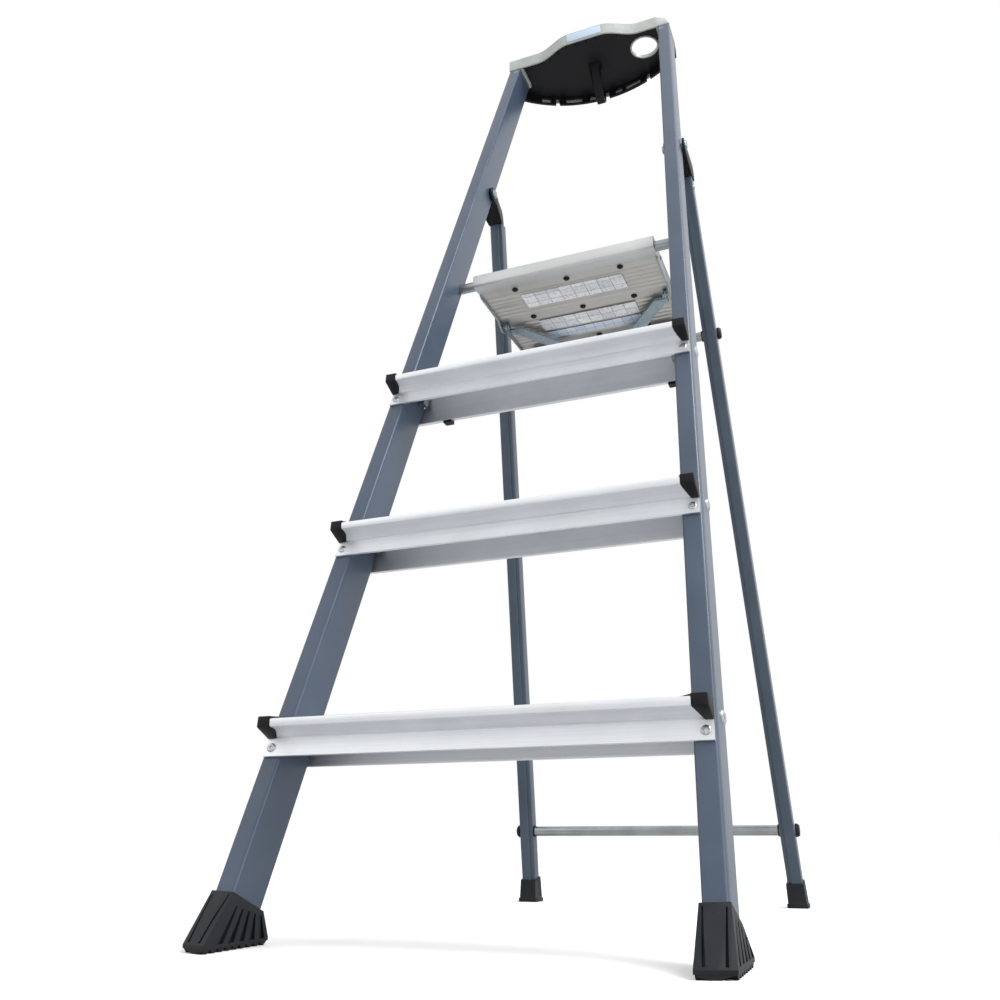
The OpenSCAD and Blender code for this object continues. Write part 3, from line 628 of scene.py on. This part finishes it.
def corner_cap(z):
    """Right-hand cap over the end of a nose, with a thin wedge that lies on the tread."""
    end = half_w(z) + 6
    y0 = front_y(z)
    flange = -FLANGE_TOP * math.tan(LEAN) - FLANGE_T
    cap = drawn("cap", "X", end - 30, end, [
        (y0 - 0.5, z + 2.2), (y0 - NOSE - 0.2, z + 2.2), (y0 - NOSE - 0.5, z - BAND_H),
        (y0 + flange - 1.2, z - FLANGE_TOP + 0.5), (y0 + flange + 4, z - FLANGE_TOP + 0.5)])
    outward = AT_STILE.to_3x3() @ Vector((1, 0, 0))
    face = AT_STILE @ Vector((-1.6, 0, 0))
    inner = half_w(z) - 15
    edit(cap)
    cut(face, outward)
    # The inner face stands upright beside the band, then slants out to the flange
    cut((inner, y0, z), (-1, 0, 0))
    cut((inner, y0, z - BAND_H), (-1, 0, -0.8))
    done()
    soften(cap, 0.9, 2)
    wedge = drawn("wedge", "Z", z + 0.1, z + 2.2, [
        (inner + 2, y0 - NOSE + 1), (half_w(z) - 4, y0 - NOSE + 1), (half_w(z) - 4, y0 - 0.6),
        (inner - 22, y0 - 0.6), (inner - 21, y0 - 3)])
    soften(wedge, 0.7, 2)
    return fuse(cap, wedge)


RIVET_IN, RIVET_DROP = 8.7, 26.6


def front_rivet(z):
    """Right-hand blind rivet through a tread's flange: a domed rim round a deep, dark hole."""
    bar = round_bar("rivet", (-RIVET_IN, -FLANGE_T + 0.4, 0), "Y", 4.4, 3.6, 40)
    soften(bar, 1.1, 3)
    carve(bar, round_bar("hole", (-RIVET_IN, -FLANGE_T - 4, 0), "Y", 1.7, 9, 24))
    up = along(z - RIVET_DROP, -RIVET_IN)
    return put(bar, AT_STILE @ Matrix.Translation((0, 0, up)))


for make, name, node, finish in (
        (corner_cap, "tread_corner_caps", "step_corner_caps", black_plastic),
        (front_rivet, "tread_rivets", "step_front_rivets", rivet_steel)):
    made = []
    for z in TREAD_Z:
        piece = make(z)
        made += [piece, twin(piece, "left")]
    finished(joined(name, made), name, "front_frame", [node], finish)

# ---------------------------------------------------------------------------------------------
# Feet
# ---------------------------------------------------------------------------------------------

BOOT_TOP = 50
SLEEVE = 1.5


def front_boot():
    """Right-hand rubber boot: a toothed sole, a flared body with a fan of slots in each side,
    and a bowed front panel between two grooves. Its toe is set back on the outer side."""
    low, high = box_mm("front_foot_right")
    skew = 10
    teeth = 9
    pitch = (high.y - low.y - 1.6) / teeth
    sole_line = []
    for i in range(teeth):
        y = low.y + 0.8 + pitch * i
        sole_line += [(y, 3.2), (y + 0.34 * pitch, 0), (y + 0.58 * pitch, 0),
                      (y + 0.96 * pitch, 3.2)]
    sole = drawn("sole", "X", low.x + 0.8, high.x - 0.8,
                 sole_line + [(high.y - 0.8, 3.4), (high.y - 0.8, 5), (low.y + 0.8, 5)])
    edit(sole)
    cut((low.x, low.y + 0.8, 0), Vector((skew, low.x - high.x, 0)).normalized())
    done()
    body = block("boot", (low.x, low.y, 3.6), (high.x, high.y, 6.5))
    edit(body)
    pick("FACE", facing=(0, 0, 1))
    pull(z=20)
    # The four upper corners go to the sleeve round the stile
    for x in (0, 1):
        for y in (0, 1):
            target = AT_STILE @ Vector((-STILE_W - SLEEVE + x * (STILE_W + 2 * SLEEVE),
                                        -SLEEVE + y * (STILE_D + 2 * SLEEVE), BOOT_TOP))
            here = Vector((high.x if x else low.x, high.y if y else low.y, 26.5))
            drag(here, target - here)
    # The front's outer corner is set back, and it bows out along its middle
    pick("VERT", lambda x, y, z: x > high.x - 0.1 and y < low.y + 0.1)
    move(y=skew)
    foot_middle = Vector(((low.x + high.x) / 2, low.y + skew / 2, 6.5))
    head_middle = AT_STILE @ Vector((-STILE_W / 2, -SLEEVE, BOOT_TOP))
    sideways = (head_middle - foot_middle).cross(Vector((0, 1, 0))).normalized()
    cut(foot_middle, sideways, keep_both=True)
    for middle in (foot_middle, head_middle):
        drag(middle, (0, -1.1, 0), 1.5)
    done()
    top_front, top_back = [AT_STILE @ Vector((0, y, BOOT_TOP)) for y in (-SLEEVE, STILE_D + SLEEVE)]
    inverse = AT_STILE.inverted()

    def fan(share, rise):
        """A point of the side, in the stile's (y, z): share goes back and rise goes up."""
        foot = Vector((0, low.y + (high.y - low.y) * share, 6.5))
        point = foot.lerp(top_front.lerp(top_back, share), rise)
        point.x = half_w(point.z)
        return (inverse @ point).yz

    for i in range(5):
        share = 0.2 + 0.165 * i
        outline = [fan(share, 0.02), fan(share + 0.085, 0.02), fan(share + 0.06, 0.8),
                   fan(share + 0.03, 0.8)]
        for near, far in ((0.3, 12), (-STILE_W - 12, -STILE_W - 0.3)):
            carve(body, put(drawn("slot", "X", near, far, outline), AT_STILE))
    # Grooves on both sides of the front panel, deeper and wider towards the sole
    for side in SIDES:
        middle = (low.x + high.x) / 2 + side * 7.4
        groove = drawn("groove", "X", middle - 1.2, middle + 1.2, [
            (low.y + skew / 2 + 4.5 + side * 3, 8), (low.y - 9, 8), (top_front.y - 9, 44),
            (top_front.y + 0.4, 44)])
        edit(groove)
        pick("VERT", lambda x, y, z: z > 40)
        bpy.ops.transform.resize(value=(0.45, 1, 1))
        move(x=head_middle.x - foot_middle.x + side * 1.2)
        done()
        carve(body, groove)
    fuse(body, sole)
    return soften(body, 0.45, 2, 40)


finished_pair(front_boot(), "boot", "front_frame", "front_foot", black_rubber)


def rear_foot():
    """Right-hand rear foot: a flared sleeve with a lip round its sole."""
    low, high = box_mm("rear_foot_right")
    body = block("rear_foot", (low.x, low.y, 0), (high.x, low.y + 33, 5.5))
    edit(body)
    pick("FACE", facing=(0, 0, 1))
    bpy.ops.mesh.inset(thickness=1.2 * MM)
    pull(z=12)
    wall = 2
    for x in (0, 1):
        for y in (0, 1):
            target = AT_LEG @ Vector((-LEG_W - wall + x * (LEG_W + 2 * wall),
                                      LEG_OFFSET - wall + y * (LEG_D + 2 * wall),
                                      leg_along(0) + 34))
            here = Vector((high.x - 1.2 if x else low.x + 1.2, low.y + (31.8 if y else 1.2), 17.5))
            drag(here, target - here)
    for facing in ((0, -1, 0), (1, 0, 0), (-1, 0, 0)):
        pick("FACE", lambda x, y, z: z > 5, facing=facing)
        bpy.ops.mesh.inset(thickness=3.4 * MM, depth=-0.9 * MM)
    done()
    soften(body, 0.6, 2)
    for i in range(3):
        y = low.y + 7 + 9 * i
        carve(body, block("tread_gap", (low.x - 1, y, -1), (high.x + 1, y + 2.2, 1.6)))
    return body


finished_pair(rear_foot(), "heel", "rear_frame", "rear_foot", black_rubber)

# ---------------------------------------------------------------------------------------------
# Rear legs and their hinge knuckles
# ---------------------------------------------------------------------------------------------

# Where a leg ends in its knuckle, below the hinge
SOCKET = -28


def rear_leg():
    """Rounded box extrusion with a rebate along its inner front corner."""
    bottom = leg_along(0) - 40
    piece = drawn("leg", "Z", bottom, SOCKET + 20, [
        (-LEG_W, LEG_OFFSET + 2.4), (-LEG_W + 5.6, LEG_OFFSET + 2.4), (-LEG_W + 5.6, LEG_OFFSET),
        (0, LEG_OFFSET), (0, LEG_OFFSET + LEG_D), (-LEG_W, LEG_OFFSET + LEG_D)])
    edit(piece)
    pick("EDGE", running=(0, 0, 1),
         wanted=lambda x, y, z: not (x < -LEG_W + 6 and x > -LEG_W + 5 and y > LEG_OFFSET + 1))
    bevel(1.3, 4)
    done()
    put(piece, AT_LEG)
    edit(piece)
    top = AT_HINGE @ Vector((0, 0, SOCKET - 0.1))
    cut(top, AT_HINGE.to_3x3() @ Vector((0, 0, 1)))
    cut((0, 0, TUBE_FOOT), (0, 0, -1))
    return done()


finished_pair(rear_leg(), "leg", "rear_frame", "rear_leg", dark_slate)


def knuckle():
    """Right-hand hinge knuckle in the hinge's frame: two teardrop cheeks on the sides of the
    stile, and a block between them that the leg's end seats against."""
    lobe, gap = 11, 1.8
    cheek_in = half_w(HINGE.z) - STILE_W - gap
    cheek_out = half_w(HINGE.z) + gap
    back = LEG_OFFSET + LEG_D
    cheek = arc((0, 0), lobe, 60, 250, 14)
    cheek += [(LEG_OFFSET - 2, SOCKET), (back, SOCKET), (back, SOCKET + 14)]
    cheek += arc((back - 15, SOCKET + 14), 15, 0, 50, 5)
    inner = drawn("cheek", "X", cheek_in - 4, cheek_in, cheek)
    outer = drawn("cheek", "X", cheek_out, cheek_out + 3, cheek)
    soften(outer, 1.0, 2, 35)
    clear = STILE_D - HINGE_DEPTH + 0.5
    # Front of the block, which clears the stile's back at rest and when it is folded
    across = math.cos(LEAN + REAR_LEAN), math.sin(LEAN + REAR_LEAN)
    bulk = drawn("bulk", "X", cheek_in - 1, cheek_out + 1, [
        (clear, 4), (clear, -4), (LEG_OFFSET - 2, SOCKET),
        (back, SOCKET), (back, SOCKET + 14)] + arc((back - 16, SOCKET + 14), 16, 0, 60, 6))
    tilt = Vector((0, -across[0], across[1]))
    edit(bulk)
    cut((0, clear * across[0], -clear * across[1]), tilt)
    done()
    fuse(inner, bulk)
    # Below the stile the inner cheek leans over until it is flush with the leg
    flush = LEG_HALF - LEG_W - cheek_in + 4
    edit(inner)
    cut((cheek_in - 4, 10, 0), Vector((-40, flush, 0)).normalized())
    done()
    soften(inner, 1.2, 3, 35)
    fuse(inner, outer)
    carve(inner, round_bar("bore", (cheek_in + 10, 0, 0), "X", 4.1, 60))
    return put(inner, AT_HINGE)


finished_pair(knuckle(), "knuckle", "rear_frame", "hinge_knuckle", black_plastic)

# ---------------------------------------------------------------------------------------------
# Tray
# ---------------------------------------------------------------------------------------------

SHELL_LOW, SHELL_HIGH = box_mm("tray_shell")
TRAY_Z, TRAY_TOP, TRAY_HALF = SHELL_LOW.z, SHELL_HIGH.z, SHELL_HIGH.x
TRAY_Y = front_y(STILE_TOP)
TRAY_WALL, BOW, TRAY_DEPTH = 2.6, 230, 128
# The bulge of the front starts this far from the middle and takes this much width to form
BULGE, BULGE_START, BULGE_RUN = 21, 92, 62
END_W, END_D = 24, 53
HOLE_X, HOLE_Y, HOLE_R = TRAY_HALF - 53.5, TRAY_Y + 44, 22.5


def tray_outline(inset):
    """Plan of the tray: a flat bulge in the middle of the front, and a bowed back."""
    half = TRAY_HALF - inset
    steps = 12
    front = []
    for i in range(steps + 1):
        t = i / steps
        rise = BULGE * t * t * (3 - 2 * t)
        front.append((-BULGE_START + BULGE_RUN * t, TRAY_Y + inset - rise))
    centre = TRAY_Y + TRAY_DEPTH - BOW
    radius = BOW - inset
    swing = math.degrees(math.asin(half / radius))
    back = arc((0, centre), radius, 90 - swing, 90 + swing, 28)
    return [(-half, TRAY_Y + inset)] + front + [(-x, y) for x, y in reversed(front)] + \
        [(half, TRAY_Y + inset)] + back


def tray_shell():
    """Grey rim, the sleeve of the round hole and the end blocks over the stile tops."""
    rim = drawn("rim", "Z", TRAY_Z, TRAY_TOP, tray_outline(0))
    edit(rim)
    pick("EDGE", lambda x, y, z: z > TRAY_TOP - 0.1)
    bevel(1.2, 3)
    done()
    carve(rim, drawn("inside", "Z", TRAY_Z - 5, TRAY_TOP + 5, tray_outline(TRAY_WALL)))
    end = block("end", (TRAY_HALF - END_W, TRAY_Y - 0.1, TRAY_Z + 0.01),
                (TRAY_HALF, TRAY_Y + END_D, TRAY_TOP))
    edit(end)
    pick("VERT", lambda x, y, z: z > TRAY_TOP - 0.1 and x > TRAY_HALF - 1 and y < TRAY_Y + 1)
    move(x=-8, y=8)
    pick("VERT", lambda x, y, z: z > TRAY_TOP - 0.1 and x > TRAY_HALF - 1 and y > TRAY_Y + 50)
    move(x=-5)
    done()
    soften(end, 1.4, 3)
    for side, part in zip(SIDES, (twin(end, "end_left"), end)):
        room = block("room", (TRAY_HALF - END_W + 0.5, TRAY_Y - 1, TRAY_Z - 1),
                     (TRAY_HALF + 2, TRAY_Y + 140, TRAY_TOP + 2))
        if side < 0:
            put(room, Matrix.Diagonal((-1, 1, 1, 1)))
        carve(rim, room)
        fuse(rim, part)
    sleeve = HOLE_R + TRAY_WALL
    ring = round_bar("ring", (HOLE_X, HOLE_Y, TRAY_Z + 9.5), "Z", sleeve, 6, 64)
    fuse(ring, round_bar("collar", (HOLE_X, HOLE_Y, TRAY_Z + 11.8), "Z", sleeve + 1.5, 1.4, 64))
    soften(ring, 0.5, 2)
    carve(ring, round_bar("hole", (HOLE_X, HOLE_Y, TRAY_TOP), "Z", HOLE_R, 90, 64))
    return joined("tray", [rim, ring])


def tray_base():
    """Black base: a floor, fine ribs behind the front wall, a deeper bowed skirt at the back
    with three notches and shallow windows, and cut back round the stile tops."""
    inset = TRAY_WALL + 0.3
    floor_z = TRAY_Z + 8
    base = drawn("floor", "Z", floor_z, floor_z + 3, tray_outline(inset))
    skirt = drawn("skirt", "Z", TRAY_Z - 8, floor_z + 1, tray_outline(inset + 0.01))
    carve(skirt, drawn("inside", "Z", TRAY_Z - 20, floor_z, tray_outline(inset + 4.5)))
    carve(skirt, block("front", (-200, TRAY_Y - 60, TRAY_Z - 30), (200, TRAY_Y + 60, TRAY_Z + 30)))
    for x in (-89, 4, 86):
        carve(skirt, block("notch", (x - 3.5, TRAY_Y + 58, TRAY_Z - 12),
                           (x + 3.5, TRAY_Y + 150, floor_z - 1)))
    for low_x, high_x in ((-116, -100), (-74, -44), (-30, -19), (20, 33), (40, 70)):
        carve(skirt, block("window", (low_x, TRAY_Y + 60, TRAY_Z - 5),
                           (high_x, TRAY_Y + 150, TRAY_Z + 5)))
    fuse(base, skirt)
    for i in range(13):
        x = -108 + 18 * i
        rib = drawn("rib", "Z", TRAY_Z + 1, floor_z + 1, tray_outline(inset + 0.02))
        edit(rib)
        cut((x - 0.7, 0, 0), (-1, 0, 0))
        cut((x + 0.7, 0, 0), (1, 0, 0))
        rise = BULGE if abs(x) < 40 else BULGE * max(0, (BULGE_START - abs(x)) / BULGE_RUN)
        cut((x, TRAY_Y + 14 - rise, 0), (0, 1, 0))
        done()
        fuse(base, rib)
    carve(base, round_bar("hole", (HOLE_X, HOLE_Y, TRAY_Z), "Z", HOLE_R + inset, 90, 64))
    for side in SIDES:
        room = block("room", (TRAY_HALF - END_W - 0.3, TRAY_Y - 10, TRAY_Z - 30),
                     (TRAY_HALF + 10, TRAY_Y + END_D + 0.3, TRAY_Z + 30))
        carve(base, on_side(room, side))
    return base


finished(tray_shell(), "tray_rim", "front_frame", ["tray_shell"], grey_plastic)
finished(tray_base(), "tray_floor", "front_frame", ["tray_base"], black_plastic)


def tray_plate():
    low, high = box_mm("tray_label_plate")
    piece = block("plate", (low.x - 2, low.y, low.z - 1), (high.x + 2, high.y + 0.3, high.z + 1))
    edit(piece)
    pick("EDGE", running=(0, 1, 0))
    bevel(2, 4)
    pick("FACE", facing=(0, -1, 0))
    bpy.ops.mesh.inset(thickness=0.6 * MM, depth=0.25 * MM)
    return done()


finished(tray_plate(), "tray_blank_plate", "front_frame", ["tray_label_plate"], plate_film)


def bucket_hook():
    """Flat post under the tray whose foot turns back and up."""
    low, high = box_mm("bucket_hook")
    y0, z0 = low.y + 9, low.z
    drop = high.z - low.z
    hook = drawn("hook", "X", low.x, high.x, [
        (y0 - 9, z0 + drop), (y0 - 4, z0 + drop - 10), (y0 + 16, z0 + 4), (y0 + 20, z0),
        (y0 + 36, z0), (y0 + 44, z0 + 10), (y0 + 44, z0 + 22), (y0 + 38, z0 + 22),
        (y0 + 36, z0 + 12), (y0 + 33, z0 + 8), (y0 + 24, z0 + 8), (y0 + 5, z0 + drop - 10),
        (y0 + 11, z0 + drop)])
    edit(hook)
    pick("FACE", lambda x, y, z: z > z0 + drop - 0.1)
    bpy.ops.transform.resize(value=(1.5, 1, 1))
    done()
    return soften(hook, 1.4, 3)


finished(bucket_hook(), "hook", "front_frame", ["bucket_hook"], black_plastic)

# ---------------------------------------------------------------------------------------------
# Platform
# ---------------------------------------------------------------------------------------------

DECK_LOW, DECK_TOP = box_mm("platform_nose")[0].z, box_mm("platform_nose")[1].z


def platform_nose():
    """Front of the platform: a flat face between rounded edges, on the hinge rod."""
    low, high = box_mm("platform_nose")
    outline = [(high.y, DECK_LOW), (high.y, DECK_TOP), (low.y + 4, DECK_TOP)]
    outline += arc((low.y + 4, DECK_TOP - 4), 4, 90, 165, 5)[1:]
    outline += arc((low.y + 5, DECK_LOW + 4), 4.6, 190, 270, 6)
    nose = drawn("nose", "X", low.x, high.x, outline)
    soften(nose, 0.7, 2, 50)
    return carve(nose, round_bar("bore", (0, ROD.y, ROD.z), "X", 7.1, 400, 64))


finished(platform_nose(), "platform_front_nose", "platform", ["platform_nose"], nose_alloy)


def plank(node):
    """A hollow plank of the deck, closed here at its ends: fine grooves in its top, and soft
    waves in its underside except where the plugs stand."""
    low, high = box_mm(node)
    outline = [(low.y + 0.6, low.z), (low.y, low.z + 0.6), (low.y, high.z - 0.6),
               (low.y + 0.6, high.z)]
    y = low.y + 3
    while y < high.y - 3:
        outline += [(y, high.z), (y + 0.4, high.z - 0.8), (y + 2, high.z - 0.8), (y + 2.4, high.z)]
        y += 5
    outline += [(high.y - 0.6, high.z), (high.y, high.z - 0.6), (high.y, low.z + 0.6),
                (high.y - 0.6, low.z)]
    steps = int((high.y - low.y - 4) / 1.5)
    for i in range(steps + 1):
        y = high.y - 2 - 1.5 * i
        from_rod = y - ROD.y
        waves = 26 < from_rod < 86 or 107 < from_rod < 174 or 195 < from_rod
        depth = 1.5 * (0.5 - 0.5 * math.cos(2 * math.pi * (from_rod - 26) / 10)) if waves else 0
        outline.append((y, low.z + depth))
    return drawn("plank", "X", low.x, high.x, outline)


for place in ("front", "middle", "rear"):
    node = "platform_" + place + "_plank"
    finished(plank(node), "deck_plank_" + place, "platform", [node], deck_alloy)


def side_plate():
    """Right-hand side plate: a flat bar that is deeper round the stay's pin."""
    low, high = box_mm("platform_side_plate_right")
    plate = drawn("side_plate", "X", low.x, high.x, [
        (low.y, high.z), (low.y, DECK_LOW - 1), (low.y + 4, DECK_LOW - 4),
        (PIN.y - 20, DECK_LOW - 5), (PIN.y - 7, PIN.z - 7), (PIN.y + 7, PIN.z - 7),
        (PIN.y + 20, DECK_LOW - 5), (high.y - 6, DECK_LOW - 4), (high.y, DECK_LOW - 1),
        (high.y, high.z)])
    soften(plate, 0.6, 2, 40)
    lug = round_bar("lug", ((low.x + high.x) / 2, PIN.y, PIN.z), "X", 9, high.x - low.x, 40)
    soften(lug, 0.5, 1)
    fuse(plate, lug)
    return carve(plate, round_bar("bore", (high.x, PIN.y, PIN.z), "X", 3.1, 20))


finished_pair(side_plate(), "platform_side", "platform", "platform_side_plate", tube_alloy)


def labels():
    """Three blank films under the deck, with rounded corners."""
    low, high = box_mm("platform_label_plates")
    strips = []
    for start_y, depth in ((33, 38), (111, 34), (148, 22)):
        y = ROD.y + start_y
        film = block("film", (low.x, y + 1, low.z), (high.x, y + depth - 1, high.z))
        edit(film)
        pick("EDGE", running=(0, 0, 1))
        bevel(2, 3)
        strips.append(done())
    return strips


films = labels()
blue = films.pop()
LABEL_NODES = ["platform_label_plates"]
finished(joined("films", films), "platform_blank_labels", "platform", LABEL_NODES, white_film)
finished(blue, "platform_blank_label_blue", "platform", LABEL_NODES, blue_film)

# ---------------------------------------------------------------------------------------------
# Floor, light and camera
# ---------------------------------------------------------------------------------------------

bpy.ops.mesh.primitive_plane_add(size=30, location=(0, 0, 0))
floor = bpy.context.object
floor.name = "studio_floor"
floor_paint, floor_tree, floor_place = start("painted_floor")
mottle = add(floor_tree, "TexNoise", {"Scale": per_mm(400)}, {"Vector": floor_place})
# The camera sees it white; the ladder gets back the light of a grey floor
lit = add(floor_tree, "MixRGB", {"Color1": paint("#c2c2c2")},
          {"Fac": add(floor_tree, "LightPath").outputs["Is Camera Ray"],
           "Color2": ramp(floor_tree, mottle.outputs["Fac"], [(0.3, "#fcfcfc"), (0.7, "#ffffff")])})
close(floor_tree, {"Roughness": 0.9, "Specular IOR Level": 0.0},
      {"Base Color": lit.outputs["Color"]})
floor.data.materials.append(floor_paint)

world = bpy.data.worlds.new("studio")
bpy.context.scene.world = world
world.use_nodes = True
sky = world.node_tree
sky.nodes.clear()
WHITE = (1, 1, 1, 1)
# Soft light all round, stronger from above; behind the ladder the camera sees plain white
height = add(sky, "SeparateXYZ", links={"Vector": add(sky, "TexCoord").outputs["Generated"]})
dome = add(sky, "MapRange", {"From Min": -0.1, "From Max": 0.7, "To Min": 0.86, "To Max": 1.1},
           {"Value": height.outputs["Z"]})
light = add(sky, "Background", {"Color": WHITE}, {"Strength": dome.outputs["Result"]})
backdrop = add(sky, "Background", {"Color": WHITE, "Strength": 1.0})
choice = add(sky, "MixShader", links={"Fac": add(sky, "LightPath").outputs["Is Camera Ray"],
                                      1: light.outputs["Background"],
                                      2: backdrop.outputs["Background"]})
add(sky, "OutputWorld", links={"Surface": choice.outputs["Shader"]})


def softbox(name, place, size, power, aim=(0, 0, 0.8)):
    lamp = bpy.data.lights.new(name, "AREA")
    lamp.shape = "SQUARE"
    lamp.size = size
    lamp.energy = power
    holder = bpy.data.objects.new(name, lamp)
    holder.location = place
    holder.rotation_euler = (Vector(aim) - Vector(place)).to_track_quat("-Z", "Y").to_euler()
    bpy.context.scene.collection.objects.link(holder)


softbox("key", (1.9, -0.5, 2.8), 1.3, 60)
softbox("left", (-1.9, -2.0, 1.8), 1.5, 4)
softbox("right", (2.5, -1.1, 0.9), 1.8, 24)

bpy.context.scene.view_settings.view_transform = "Standard"

# Camera: its place in metres, and how far it looks up and turns to the left
CAMERA_AT, CAMERA_UP, CAMERA_TURN = (0.3383, -1.0904, 0.0877), 0.3473, 0.3805
lens = bpy.data.cameras.new("camera")
lens.lens, lens.sensor_width = 33.85, 36
camera = bpy.data.objects.new("camera", lens)
camera.location = CAMERA_AT
camera.rotation_euler = (math.pi / 2 + CAMERA_UP, 0, CAMERA_TURN)
bpy.context.scene.collection.objects.link(camera)
bpy.context.scene.camera = camera
